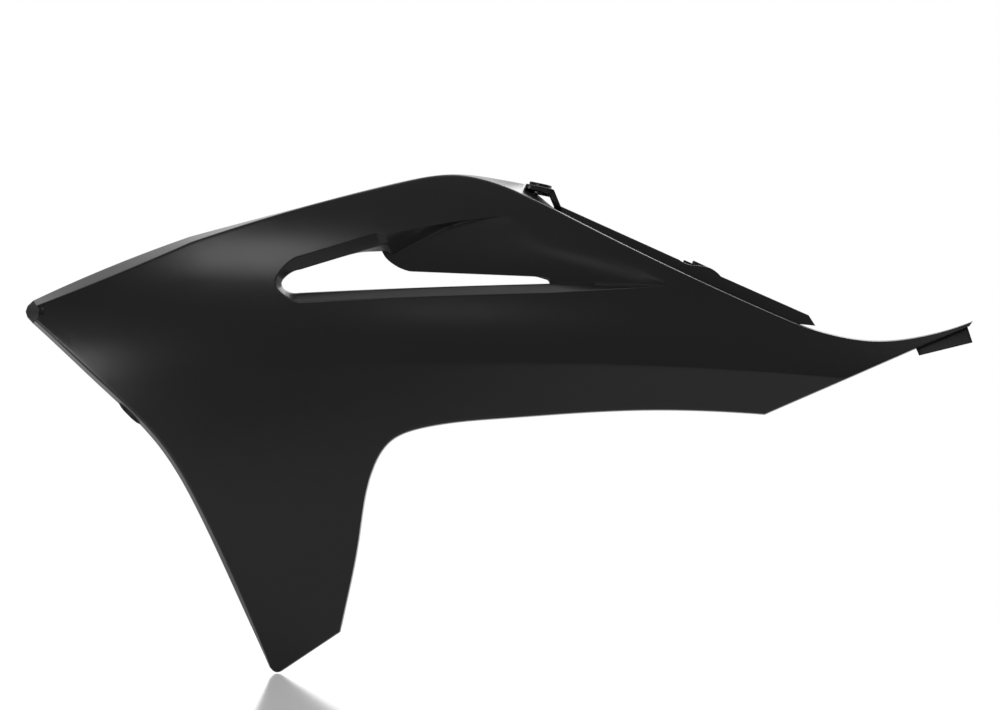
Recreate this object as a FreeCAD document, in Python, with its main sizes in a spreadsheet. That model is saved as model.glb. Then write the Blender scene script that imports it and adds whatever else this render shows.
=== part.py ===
import FreeCAD
import Part
import math
import os
import Sketcher
from FreeCAD import Placement, Rotation, Vector

# Left radiator shroud of a dirt bike: one injection-moulded panel with an air scoop.
# Millimetres. +X runs rearward, +Z up, and the outer face looks to -Y.
# The origin is the centre of the bolt hole in the front ear.
# "Outward" is the distance towards -Y, and "depth" is measured inward from the outer face.

NODE = "shroud_panel"

# Driving dimensions that are not points of an outline
SIZES = {
    "wall": 2.3,
    "flare_nose": 86.0,
    "flare_fore": 115.0,
    "flare_mid": 91.0,
    "flare_aft": 22.0,
    "flare_tail": 24.0,
    "crease_height": -113.8,
    "crease_peak_x": -26.0,
    "crease_radius": 2430.0,
    "crease_start_x": -225.0,
    "crease_slope_above": 0.22,
    "crease_slope_below": 0.42,
    "section_rise": 154.0,
    "section_drop": 232.0,
    "top_fall_nose": 62.0,
    "top_fall_mid": 116.0,
    "top_fall_tail": 52.0,
    "foot_fall": 34.0,
    "return_nose": 16.0,
    "return_tail": 5.5,
    "return_foot": 8.0,
    "shelf_nose": 16.0,
    "shelf_mid": 36.0,
    "shelf_tail": 9.0,
    "edge_nose": 9.0,
    "edge_nose_top": 4.6,
    "edge_fore": 6.8,
    "edge_shoulder": 4.2,
    "edge_front": 3.0,
    "edge_shelf_mid": 3.6,
    "edge_shelf_end": 7.0,
    "edge_draft": 0.7,
    "lip_depth": 4.5,
    "lip_wall": 9.0,
    "lip_broad": 8.5,
    "lip_upper": 5.0,
    "lip_narrow": 3.2,
    "lip_lower": 6.2,
    "lip_end": 0.8,
    "scoop_slope": 0.34,
    "scoop_reach": 34.0,
    "scoop_draft": 0.8,
    "gusset_draft": 0.36,
    "wall_draft": 0.02,
    "ear_plate": 3.2,
    "ear_width": 21.0,
    "ear_front": 9.6,
    "ear_rear": 9.0,
    "ear_slope": 12.0,
    "ear_leg_run": 8.0,
    "ear_leg_drop": 10.0,
    "ear_leg_width": 5.1,
    "ear_overlap": 3.5,
    "bolt_bore": 6.5,
    "boss_wall": 4.2,
    "boss_rise": 2.2,
    "rear_ear_x": 106.0,
    "rear_ear_z": -53.5,
    "rear_ear_slope": 25.0,
    "rear_ear_inset": 9.0,
    "rear_ear_length": 26.0,
    "lug_x": -262.0,
    "lug_rise": 13.0,
    "lug_slope": 45.0,
    "lug_length": 26.0,
    "lug_width": 18.0,
    "lug_plate": 3.0,
    "lug_flat": 0.9,
}

# Outline seen square to the outer face: name, x, z, width of its edge band, corner or not
OUTLINE = [
    ("nose_top", -330.9, -73.4, "edge_nose_top", True),
    ("nose_front", -336.2, -80.2, "edge_nose", False),
    ("nose_under", -331.2, -88.7, "edge_front", True),
    ("cheek", -287.8, -128.8, "edge_front", False),
    ("blade_top", -248.5, -168.7, "edge_front", False),
    ("blade_mid", -222.4, -212.6, "edge_front", False),
    ("blade_low", -196.2, -269.4, "edge_front", False),
    ("toe_front", -176.6, -313.3, "edge_draft", True),
    ("toe", -172.2, -316.5, "edge_draft", False),
    ("toe_rear", -167.4, -314.9, "edge_draft", True),
    ("heel", -130.2, -290.1, "edge_draft", True),
    ("shin_low", -127.5, -278.0, "edge_draft", False),
    ("shin", -117.7, -229.5, "edge_draft", False),
    ("arch_front", -107.9, -182.0, "edge_draft", False),
    ("arch", -97.5, -166.0, "edge_draft", False),
    ("arch_rear", -76.0, -157.0, "edge_draft", False),
    ("keel_front", -26.2, -151.1, "edge_draft", False),
    ("keel_mid", 65.4, -145.8, "edge_draft", False),
    ("keel_corner", 147.5, -148.6, "edge_draft", True),
    ("tail_root", 247.2, -105.3, "edge_draft", True),
    ("tail_under", 282.6, -90.4, "edge_draft", True),
    ("tail_tip", 285.1, -86.7, "edge_draft", True),
    ("tongue_rear", 249.8, -96.8, "edge_draft", False),
    ("tongue_low", 222.4, -99.6, "edge_draft", False),
    ("tongue_front", 190.0, -94.9, "edge_draft", False),
    ("rear_end", 163.5, -86.0, "edge_draft", True),
    ("rear_mid", 91.6, -53.6, "edge_draft", False),
    ("leg_foot", 9.0, -12.4, "edge_draft", True),
    ("shelf_end", -9.2, 3.3, "edge_shelf_end", True),
    ("shelf_mid_edge", -26.2, 6.5, "edge_shelf_mid", False),
    ("peak", -55.6, 9.8, "edge_draft", False),
    ("crest_rear", -91.6, 4.6, "edge_draft", False),
    ("crest_front", -157.0, -12.4, "edge_draft", False),
    ("shoulder", -228.9, -31.6, "edge_shoulder", True),
    ("fore", -285.1, -53.0, "edge_fore", False),
]

# Mouth of the scoop: name, x, z, width of the rolled lip, draft of the wall, corner or not
MOUTH = [
    ("mouth_low", -157.0, -68.7, "lip_lower", "wall_draft", True),
    ("mouth_under", -164.8, -67.4, "lip_narrow", "wall_draft", False),
    ("mouth_nose", -168.6, -62.8, "lip_narrow", "wall_draft", False),
    ("mouth_over", -165.5, -57.9, "lip_upper", "wall_draft", False),
    ("lip_front", -156.3, -53.5, "lip_broad", "wall_draft", True),
    ("lip_fore", -127.5, -44.7, "lip_broad", "wall_draft", False),
    ("gusset_end", -104.6, -37.5, "lip_broad", "gusset_draft", True),
    ("ramp_start", -98.8, -35.7, "lip_upper", "scoop_draft", True),
    ("lip_mid", -68.3, -27.2, "lip_narrow", "scoop_draft", False),
    ("lip_aft", -41.9, -20.9, "lip_end", "scoop_draft", False),
    ("lip_point", -22.9, -18.8, "lip_end", "wall_draft", True),
    ("fade_top", 46.0, -34.0, "lip_end", "wall_draft", True),
    ("fade_low", 85.0, -62.8, "lip_end", "wall_draft", True),
    ("mouth_tail", 7.2, -62.5, "lip_lower", "wall_draft", True),
    ("mouth_mid", -65.4, -64.7, "lip_lower", "wall_draft", False),
]

# Free edge of the scoop ramp, from the front of the ramp to the rear end of the open slot
RAMP_EDGE = [
    ("ramp_front", -102.7, -45.1, False),
    ("ramp_nose", -96.1, -49.7, False),
    ("ramp_turn", -82.5, -54.8, True),
    ("ramp_rear", 3.6, -58.2, True),
    ("slot_end", 7.2, -60.4, False),
]

# Stepped flange behind the rear edge: name, x, z of its free edge
JOGGLE = [
    ("joggle_start", 9.8, -9.5),
    ("joggle_front", 91.5, -46.5),
    ("joggle_hump", 97.0, -49.4),
    ("joggle_top", 111.0, -51.0),
    ("joggle_fall", 119.0, -57.5),
    ("joggle_rear", 176.6, -83.0),
    ("joggle_tip", 181.0, -90.0),
]

# Plate under the tongue that tucks behind the side panel
TAIL_TAB = [
    ("tab_front", 246.6, -103.4),
    ("tab_low", 249.2, -109.6),
    ("tab_rear", 284.5, -101.0),
    ("tab_top", 280.9, -89.6),
]

SOLID_TIP = "tail_under"
STATIONS = 9
STATION_MARGIN = 10.0
SKIN_MARGIN = 2.0
TRIM_MARGIN = 30.0
FRONT_PLANE = 160.0
BACK_PLANE = -150.0
TUBE_BACK = -180.0
CREASE_GROWTH = 1.5
LIP_BACKING = 0.6

doc = FreeCAD.newDocument("radiator_shroud")
sheet = doc.addObject("Spreadsheet::Sheet", "sizes")


def fill_sheet():
    rows = list(SIZES.items())
    for table in (OUTLINE, MOUTH, RAMP_EDGE, JOGGLE, TAIL_TAB):
        for entry in table:
            rows.append((entry[0] + "_x", entry[1]))
            rows.append((entry[0] + "_z", entry[2]))
    for number, (alias, value) in enumerate(rows, start=1):
        sheet.set(f"A{number}", alias)
        sheet.set(f"B{number}", str(value))
        sheet.setAlias(f"B{number}", alias)
    doc.recompute()


def size(alias):
    return float(sheet.get(alias))


def spot(name):
    return Vector(size(name + "_x"), 0.0, size(name + "_z"))


def share(low, high, value):
    return (value - low) / (high - low)


def bezier(controls, t):
    degree = len(controls) - 1
    return sum(
        math.comb(degree, i) * (1 - t) ** (degree - i) * t ** i * control
        for i, control in enumerate(controls)
    )


def along(x):
    return share(size("nose_front_x"), size("tail_tip_x"), x)


def crease_z(x):
    return size("crease_height") - (x - size("crease_peak_x")) ** 2 / (2 * size("crease_radius"))


def crease_strength(x):
    rise = share(size("crease_start_x"), size("tail_tip_x"), x)
    return max(0.0, rise) ** CREASE_GROWTH


def section_values(x):
    """Outward height of the crease, slopes beside it and falls to both ends of a section."""
    t = along(x)
    flare = bezier([size("flare_" + part) for part in ("nose", "fore", "mid", "aft", "tail")], t)
    top_fall = bezier([size("top_fall_" + part) for part in ("nose", "mid", "tail")], t)
    strength = crease_strength(x)
    above = size("crease_slope_above") * strength
    below = size("crease_slope_below") * strength
    return flare, above, below, top_fall, size("foot_fall")


def skin(x, z):
    """Outward distance of the outer face."""
    flare, above, below, top_fall, foot_fall = section_values(x)
    lift = z - crease_z(x)
    reach, slope, fall = size("section_rise"), above, top_fall
    if lift < 0:
        reach, slope, fall = size("section_drop"), below, foot_fall
    t = abs(lift) / reach
    return flare - slope * reach * t * (1 - t) - fall * t * t


def return_depth(x, z):
    """Depth of the returned edge behind the outer face."""
    t = along(x)
    at_crease = bezier([size("return_nose"), size("return_tail")], t)
    shelf = bezier([size("shelf_nose"), size("shelf_mid"), size("shelf_tail")], t)
    lift = z - crease_z(x)
    if lift < 0:
        return at_crease + (size("return_foot") - at_crease) * -lift / size("section_drop")
    return at_crease + (shelf - at_crease) * lift / size("section_rise")


def ramp_depth(x, z):
    """Depth of the scoop ramp, which meets the outer face along a slanted line."""
    start = spot("lip_point")
    line = spot("fade_low") - start
    offset = Vector(x, 0, z) - start
    away = (offset.z * line.x - offset.x * line.z) / math.hypot(line.x, line.z)
    return -size("scoop_slope") * away


def place(x, outward, z):
    return Vector(x, -outward, z)


def skin_block(name, depth):
    """Solid behind the outer face, moved inward by a depth that may change with x and z."""
    first = size("nose_front_x") - STATION_MARGIN
    last = size("tail_tip_x") + STATION_MARGIN
    sections = []
    for number in range(STATIONS):
        x = first + (last - first) * number / (STATIONS - 1)
        flare, above, below, top_fall, foot_fall = section_values(x)
        middle = crease_z(x)
        rise, drop = size("section_rise"), size("section_drop")
        heights = [middle - drop, middle - drop / 2, middle, middle + rise / 2, middle + rise]
        outward = [
            flare - foot_fall,
            flare - below * drop / 2,
            flare,
            flare - above * rise / 2,
            flare - top_fall,
        ]
        poles = [place(x, o - depth(x, z), z) for o, z in zip(outward, heights)]
        back_low = place(x, BACK_PLANE, heights[0])
        back_high = place(x, BACK_PLANE, heights[-1])
        lower = Part.BezierCurve()
        lower.setPoles(poles[:3])
        upper = Part.BezierCurve()
        upper.setPoles(poles[2:])
        sections.append(Part.Wire([
            lower.toShape(),
            upper.toShape(),
            Part.makeLine(poles[4], back_high),
            Part.makeLine(back_high, back_low),
            Part.makeLine(back_low, poles[0]),
        ]))
    return keep(name, Part.makeLoft(sections, True, False))


def keep(name, shape):
    feature = doc.addObject("Part::Feature", name)
    feature.Shape = shape
    return feature


def grown(points, widths):
    """Closed outline moved sideways at each point, outward where its width is positive."""
    area = sum(a.x * b.z - b.x * a.z for a, b in zip(points, points[1:] + points[:1]))
    turn = 1 if area > 0 else -1
    moved = []
    for i, here in enumerate(points):
        before = (here - points[i - 1]).normalize()
        after = (points[(i + 1) % len(points)] - here).normalize()
        normal_a = Vector(before.z, 0, -before.x) * turn
        normal_b = Vector(after.z, 0, -after.x) * turn
        spread = normal_a + normal_b
        spread.multiply(2 / spread.Length ** 2)
        moved.append(here + spread * widths[i])
    return moved


def edges(points, corners):
    """Closed run of edges: a line between two neighbouring corners, else a smooth curve."""
    count = len(points)
    starts = [i for i in range(count) if corners[i]]
    result = []
    for k, start in enumerate(starts):
        stop = starts[(k + 1) % len(starts)]
        span = (stop - start) % count
        run = [points[(start + j) % count] for j in range(span + 1)]
        if span == 1:
            result.append(Part.makeLine(run[0], run[1]))
        else:
            curve = Part.BSplineCurve()
            curve.interpolate(run)
            result.append(curve.toShape())
    return result


def halved(points, corners):
    """Adds a middle point to each straight stretch, so that it can follow the curved skin."""
    new_points, new_corners = [], []
    for i, here in enumerate(points):
        new_points.append(here)
        new_corners.append(corners[i])
        following = (i + 1) % len(points)
        if corners[i] and corners[following]:
            new_points.append((here + points[following]) / 2)
            new_corners.append(False)
    return new_points, new_corners


def tube(name, levels, corners):
    """Closed solid through matching outlines, flat at its first and last level."""
    loops = []
    for points, outward in levels:
        points, marks = halved(points, corners)
        loops.append(edges([place(p.x, outward(p.x, p.z), p.z) for p in points], marks))
    faces = [Part.Face(Part.Wire(loops[0])), Part.Face(Part.Wire(loops[-1]))]
    for front, back in zip(loops, loops[1:]):
        faces += [Part.makeRuledSurface(a, b) for a, b in zip(front, back)]
    shell = Part.makeShell(faces)
    shell.sewShape()
    solid = Part.makeSolid(shell)
    if solid.Volume < 0:
        solid.reverse()
    return keep(name, solid)


def prism(name, points, corners):
    return tube(name, [(points, lambda x, z: FRONT_PLANE), (points, lambda x, z: TUBE_BACK)], corners)


def upright_block(name, corners, height):
    """Solid that stands on a flat polygon and rises along Z."""
    base = Part.Face(Part.makePolygon(corners + corners[:1]))
    return keep(name, base.extrude(Vector(0, 0, height)))


def rim_tube(name, inset):
    """Space inside the panel's edge, with the drafted returns leaning over their depth."""
    rows = [row for row in OUTLINE if inset == 0 or row[0] != SOLID_TIP]
    corners = [row[4] for row in rows]
    silhouette = grown([spot(row[0]) for row in rows], [-inset] * len(rows))
    bands = [size(row[3]) for row in rows]
    ahead, behind = [], []
    for point, band in zip(silhouette, bands):
        share_of_depth = SKIN_MARGIN / return_depth(point.x, point.z)
        ahead.append(-band * (1 + share_of_depth))
        behind.append(band * share_of_depth)
    crest = grown(silhouette, ahead)
    heel = grown(silhouette, behind)
    levels = [
        (crest, lambda x, z: FRONT_PLANE),
        (crest, lambda x, z: skin(x, z) + SKIN_MARGIN),
        (heel, lambda x, z: skin(x, z) - return_depth(x, z) - SKIN_MARGIN),
        (heel, lambda x, z: TUBE_BACK),
    ]
    return tube(name, levels, corners)


def mouth_tube(name, extra):
    """Space of the scoop's mouth: rolled lip, then drafted walls down past the ramp."""
    corners = [entry[5] for entry in MOUTH]
    points = [spot(entry[0]) for entry in MOUTH]
    count = len(points)
    slot = grown(points, [extra] * count)
    lip = grown(slot, [size(entry[3]) + extra * LIP_BACKING for entry in MOUTH])
    reach = size("scoop_reach") - size("lip_depth")
    floor = grown(slot, [-size(entry[4]) * reach for entry in MOUTH])
    levels = [
        (lip, lambda x, z: FRONT_PLANE),
        (lip, lambda x, z: skin(x, z) + SKIN_MARGIN / 2),
        (slot, lambda x, z: skin(x, z) - size("lip_depth")),
        (floor, lambda x, z: skin(x, z) - size("scoop_reach")),
        (floor, lambda x, z: TUBE_BACK),
    ]
    return tube(name, levels, corners)


def join(name, base, tool):
    return pair("Part::Fuse", name, base, tool)


def cut(name, base, tool):
    return pair("Part::Cut", name, base, tool)


def common(name, base, tool):
    return pair("Part::Common", name, base, tool)


def pair(kind, name, base, tool):
    feature = doc.addObject(kind, name)
    feature.Base = base
    feature.Tool = tool
    return feature


def flange(name, points, corners):
    """Plate one wall thick that lies behind the skin at the depth of the returned edge."""
    front = skin_block(name + "_front", lambda x, z: return_depth(x, z) - wall)
    layer = cut(name + "_layer", front, return_block)
    return common(name, layer, prism(name + "_prism", points, corners))


def new_body(name):
    return doc.addObject("PartDesign::Body", name)


def plane_sketch(body, name, plane, offset=None):
    sketch = body.newObject("Sketcher::SketchObject", name)
    origin = [f for f in body.Origin.OriginFeatures if f.Role == plane][0]
    sketch.AttachmentSupport = [(origin, "")]
    sketch.MapMode = "FlatFace"
    if offset:
        sketch.setExpression(".AttachmentOffset.Base.z", offset)
    return sketch


def polygon(sketch, corners):
    """Closed polygon whose corners are pairs of expressions on the sheet."""
    count = len(corners)
    guess = [Vector(i, (i * i) % 7, 0) for i in range(count)]
    for i in range(count):
        sketch.addGeometry(Part.LineSegment(guess[i], guess[(i + 1) % count]), False)
    for i in range(count):
        sketch.addConstraint(Sketcher.Constraint("Coincident", i, 2, (i + 1) % count, 1))
    for i, (across, up) in enumerate(corners):
        for kind, expression in (("DistanceX", across), ("DistanceY", up)):
            index = sketch.addConstraint(Sketcher.Constraint(kind, -1, 1, i, 1, 1.0))
            sketch.setExpression(f"Constraints[{index}]", expression)


def circle(sketch, diameter):
    sketch.addGeometry(Part.Circle(Vector(0, 0, 0), Vector(0, 0, 1), 3.0), False)
    sketch.addConstraint(Sketcher.Constraint("Coincident", 0, 3, -1, 1))
    index = sketch.addConstraint(Sketcher.Constraint("Diameter", 0, 6.0))
    sketch.setExpression(f"Constraints[{index}]", diameter)


def pad(body, name, sketch, length):
    feature = body.newObject("PartDesign::Pad", name)
    feature.Profile = sketch
    feature.setExpression("Length", length)
    return feature


def bolt_boss(body, plate):
    """Round boss on both faces of a plate, with a clearance hole for the bolt."""
    half = f"{plate} / 2 + sizes.boss_rise"
    rim = plane_sketch(body, "boss_circle", "XY_Plane", "-(" + half + ")")
    circle(rim, "sizes.bolt_bore + 2 * sizes.boss_wall")
    pad(body, "boss", rim, "2 * (" + half + ")")
    doc.recompute()
    centre = plane_sketch(body, "bore_circle", "XY_Plane", half)
    circle(centre, "sizes.bolt_bore")
    bore = body.newObject("PartDesign::Hole", "bore")
    bore.Profile = centre
    bore.DepthType = "ThroughAll"
    bore.setExpression("Diameter", "sizes.bolt_bore")
    doc.recompute()


def front_ear(reach):
    """Bent plate that carries the front bolt, drawn in the frame of its own hole."""
    body = new_body("front_ear")
    half = "sizes.ear_plate / 2"
    profile = plane_sketch(body, "ear_profile", "XZ_Plane", "-sizes.ear_width / 2")
    polygon(profile, [
        ("-sizes.ear_front", half),
        ("sizes.ear_rear", half),
        ("sizes.ear_rear + sizes.ear_leg_run", "-sizes.ear_leg_drop"),
        ("sizes.ear_rear + sizes.ear_leg_run - sizes.ear_leg_width", "-sizes.ear_leg_drop"),
        ("sizes.ear_rear - sizes.ear_plate", "-" + half),
        ("-sizes.ear_front", "-" + half),
    ])
    pad(body, "ear_plate_pad", profile, f"sizes.ear_width / 2 + {reach}")
    bolt_boss(body, "sizes.ear_plate")
    body.Placement = Placement(Vector(0, 0, 0), Rotation(Vector(0, 1, 0), size("ear_slope")))
    return body


def rear_ear(outward, reach):
    """Flat plate behind the stepped flange that carries the rear bolt."""
    body = new_body("rear_ear")
    half = "sizes.ear_plate / 2"
    length = "sizes.rear_ear_length / 2"
    profile = plane_sketch(body, "rear_profile", "XZ_Plane", "-sizes.ear_width / 2")
    polygon(profile, [
        ("-" + length, half), (length, half), (length, "-" + half), ("-" + length, "-" + half),
    ])
    pad(body, "rear_plate_pad", profile, f"sizes.ear_width / 2 + {reach}")
    bolt_boss(body, "sizes.ear_plate")
    body.Placement = Placement(
        place(size("rear_ear_x"), outward, size("rear_ear_z")),
        Rotation(Vector(0, 1, 0), size("rear_ear_slope")),
    )
    return body


def front_edge_z(x):
    """Height of the front edge at x, straight between the points of the outline."""
    run = [spot(row[0]) for row in OUTLINE if row[3] == "edge_front"]
    before, after = [(a, b) for a, b in zip(run, run[1:]) if x <= b.x or b is run[-1]][0]
    return before.z + (after.z - before.z) * share(before.x, after.x, x)


def front_lug(outward, height):
    """Round-ended lug on the front return, for the bolt into the radiator guard."""
    body = new_body("front_lug")
    profile = plane_sketch(body, "lug_profile", "XY_Plane", "-sizes.lug_plate / 2")
    half_x, half_y = "sizes.lug_length / 2", "sizes.lug_width / 2"
    polygon(profile, [
        ("-" + half_x, "-" + half_y), (half_x, "-" + half_y), (half_x, half_y), ("-" + half_x, half_y),
    ])
    plate = pad(body, "lug_pad", profile, "sizes.lug_plate")
    doc.recompute()
    upright = [
        f"Edge{i}" for i, edge in enumerate(plate.Shape.Edges, start=1)
        if abs(edge.Vertexes[0].Z - edge.Vertexes[1].Z) > size("lug_plate") / 2
    ]
    rounding = body.newObject("PartDesign::Fillet", "lug_rounding")
    rounding.Base = (plate, upright)
    rounding.setExpression("Radius", "sizes.lug_width / 2 - sizes.lug_flat")
    doc.recompute()
    bolt_boss(body, "sizes.lug_plate")
    turn = Rotation(Vector(1, 0, 0), 90).multiply(Rotation(Vector(0, 0, 1), -size("lug_slope")))
    body.Placement = Placement(place(size("lug_x"), outward, height), turn)
    return body


fill_sheet()
wall = size("wall")

# Skin with its returned edge
outer_block = skin_block("outer_block", lambda x, z: 0.0)
inner_block = skin_block("inner_block", lambda x, z: wall)
return_block = skin_block("return_block", return_depth)
outer_form = common("outer_form", outer_block, rim_tube("outer_rim", 0.0))
hollow = common("hollow", inner_block, rim_tube("inner_rim", wall))
returned = cut("returned", outer_form, return_block)
skin_shell = cut("skin_shell", returned, hollow)

# Scoop: rolled lip round the mouth, side wall and ramp
mouth = mouth_tube("mouth", 0.0)
ramp_block = skin_block("ramp_block", ramp_depth)
ramp_back = skin_block("ramp_back", lambda x, z: ramp_depth(x, z) + wall)
plug_tube = common("plug_tube", mouth_tube("mouth_grown", wall), outer_block)
plug = cut("plug", plug_tube, ramp_back)
lip_back = skin_block("lip_back", lambda x, z: size("lip_wall"))
trim_front = size("mouth_nose_x") - TRIM_MARGIN
trim_rear = size("fade_low_x") + TRIM_MARGIN
trim_low = size("mouth_low_z") - TRIM_MARGIN
trim_high = size("lip_point_z") + TRIM_MARGIN
trim_points = [
    Vector(trim_front, 0, trim_low),
    Vector(trim_rear, 0, trim_low),
    Vector(trim_rear, 0, size("slot_end_z")),
    Vector(size("lip_fore_x"), 0, size("slot_end_z")),
    Vector(size("lip_fore_x"), 0, trim_high),
    Vector(trim_front, 0, trim_high),
]
trim = common("trim", prism("trim_prism", trim_points, [True] * len(trim_points)), lip_back)
ramp_points = [spot(row[0]) for row in RAMP_EDGE] + [
    Vector(size("slot_end_x"), 0, trim_low),
    Vector(trim_rear, 0, trim_low),
    Vector(trim_rear, 0, trim_high),
    Vector(size("ramp_front_x"), 0, trim_high),
]
ramp_corners = [row[3] for row in RAMP_EDGE] + [True] * 4
behind_ramp = common("behind_ramp", ramp_block, prism("ramp_prism", ramp_points, ramp_corners))
air_space = cut("air_space", mouth, behind_ramp)
gusset_front = skin(size("lip_fore_x"), size("lip_fore_z")) - size("lip_wall")
gusset_rear = skin(size("gusset_end_x"), size("gusset_end_z")) - size("scoop_reach")
gusset_trim = upright_block("gusset_trim", [
    place(size("lip_fore_x"), gusset_front, trim_low),
    place(size("gusset_end_x"), gusset_rear, trim_low),
    place(size("gusset_end_x"), BACK_PLANE, trim_low),
    place(size("lip_fore_x"), BACK_PLANE, trim_low),
], trim_high - trim_low)
scoop = cut("scoop", cut("short_plug", plug, trim), gusset_trim)
scooped = cut("scooped", join("skin_and_scoop", skin_shell, scoop), air_space)

# Flanges behind the rear edge and under the tongue
edge_run = (spot("rear_end") - spot("leg_foot")).normalize()
inward = Vector(edge_run.z, 0, -edge_run.x) * wall
joggle_points = [spot(row[0]) for row in JOGGLE] + [
    spot("rear_end") + inward, spot("rear_mid") + inward, spot("leg_foot") + inward,
]
joggle = flange("joggle", joggle_points, [True] * len(joggle_points))
tab_points = [spot(row[0]) for row in TAIL_TAB]
tab = flange("tail_tab", tab_points, [True] * len(tab_points))

# Bolted fixings
ear_back = skin(0, size("leg_foot_z")) - return_depth(0, size("leg_foot_z"))
rear_back = (skin(size("rear_ear_x"), size("rear_ear_z"))
             - return_depth(size("rear_ear_x"), size("rear_ear_z")))
lug_z = front_edge_z(size("lug_x")) + size("lug_rise")
lug_back = skin(size("lug_x"), lug_z) - return_depth(size("lug_x"), lug_z)
panel = scooped
for number, piece in enumerate([
    joggle,
    tab,
    front_ear(ear_back + size("ear_overlap")),
    rear_ear(rear_back - size("rear_ear_inset"), size("rear_ear_inset") - size("ear_width") / 2 + wall),
    front_lug(lug_back + size("lug_plate") / 2, lug_z),
]):
    panel = join(f"panel_stage_{number}", panel, piece)
panel.Label = NODE

doc.recompute()
for item in doc.Objects:
    if "Invalid" in item.State or "Error" in item.State:
        raise RuntimeError(f"{item.Name} failed: {item.State}")
if panel.Shape.isNull() or not panel.Shape.isValid() or len(panel.Shape.Solids) != 1:
    raise RuntimeError("the panel is not one valid solid")

os.makedirs("parts", exist_ok=True)
panel.Shape.exportStep(f"parts/{NODE}.step")
print(f"{NODE}: volume {panel.Shape.Volume / 1000:.1f} cm3, {panel.Shape.BoundBox}")
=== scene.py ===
import math

import bmesh
import bpy
import numpy as np
from bpy.props import FloatProperty, FloatVectorProperty, PointerProperty
from bpy.types import Operator, Panel, PropertyGroup
from mathutils import Matrix, Vector


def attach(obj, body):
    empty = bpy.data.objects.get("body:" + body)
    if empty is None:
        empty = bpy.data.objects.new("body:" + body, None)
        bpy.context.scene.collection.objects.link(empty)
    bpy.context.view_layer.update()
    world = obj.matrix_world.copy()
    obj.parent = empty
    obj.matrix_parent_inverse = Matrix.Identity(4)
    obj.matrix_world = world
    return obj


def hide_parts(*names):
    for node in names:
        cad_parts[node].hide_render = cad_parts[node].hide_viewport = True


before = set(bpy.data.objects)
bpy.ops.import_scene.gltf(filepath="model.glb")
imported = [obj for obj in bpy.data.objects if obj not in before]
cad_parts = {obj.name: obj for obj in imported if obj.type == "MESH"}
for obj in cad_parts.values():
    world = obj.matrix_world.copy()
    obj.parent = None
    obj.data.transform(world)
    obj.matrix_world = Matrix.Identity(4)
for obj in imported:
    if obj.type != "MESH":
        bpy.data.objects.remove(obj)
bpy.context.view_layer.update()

bl_info = {
    "name": "Radiator Shroud",
    "version": (1, 0, 0),
    "blender": (4, 5, 0),
    "location": "View3D > Sidebar > Shroud",
    "description": "Dresses the moulded radiator shroud of a dirt bike",
    "category": "Object",
}

# +X runs rearward, +Z up, and the outer face looks to -Y. The tables are in millimetres.
NODE = "shroud_panel"

# Steps of the mesh, and small roundings of edges that have no setting of their own
CORNER_STEPS, RIM_STEPS, ROUND_STEPS = 3, 2, 48
EDGE_SPACING, MOUTH_SPACING, STATION_GAP = 5.0, 3.0, 0.5
LIP_ROUND, SLOT_ROUND, FOLD_ROUND, INNER_ROUND, PLATE_ROUND = 0.9, 1.2, 0.8, 1.0, 0.5
LIP_MARGIN, FREE_BLEND, END_BLEND = 1.0, 14.0, 12.0
TAIL_ROUND, TAIL_RANGE, TIP_INSET, SLIT = 0.25, (200.0, 285.0), 0.35, 0.05
BORE_RADIUS, BOSS_RADIUS = 3.25, 7.45
EYELET_ROUNDS = (0.4, 0.5, 0.5, 0.6, 0.6, 0.5, 0.5, 0.4)
JOGGLE_SMOOTH = (97.0, 104.0, 111.0)

# Rows of faces across the skin and the ramp, and the gaps beside the crease with their largest shares
SKIN_ROWS, BELOW_ROWS, ABOVE_ROWS, RAMP_ROWS, TAB_COLUMNS, LEG_COLUMNS = 14, 10, 12, 14, 12, 6
CREASE_GAPS = ((6.0, 0.3), (2.5, 0.15), (0.8, 0.05))
CREASE_SHARES = (0.06, 0.9)

# Shares of the slanted line over which the ramp's upper side blends in and out
BLEND_IN, BLEND_OUT = (0.0, 0.3), (0.8, 1.0)

# Distances in metres under which corners merge and edges vanish
MERGED, VANISHED = 0.00001, 0.000002

MM = 0.001

# Bands that show between the silhouette and the crest of the edge
NOSE_BAND, NOSE_TOP_BAND, FORE_BAND, SHOULDER_BAND = 9.0, 4.6, 6.8, 4.2
FRONT_BAND, SHELF_MID_BAND, SHELF_END_BAND, DRAFT_BAND = 3.0, 3.6, 7.0, 0.7

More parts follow.
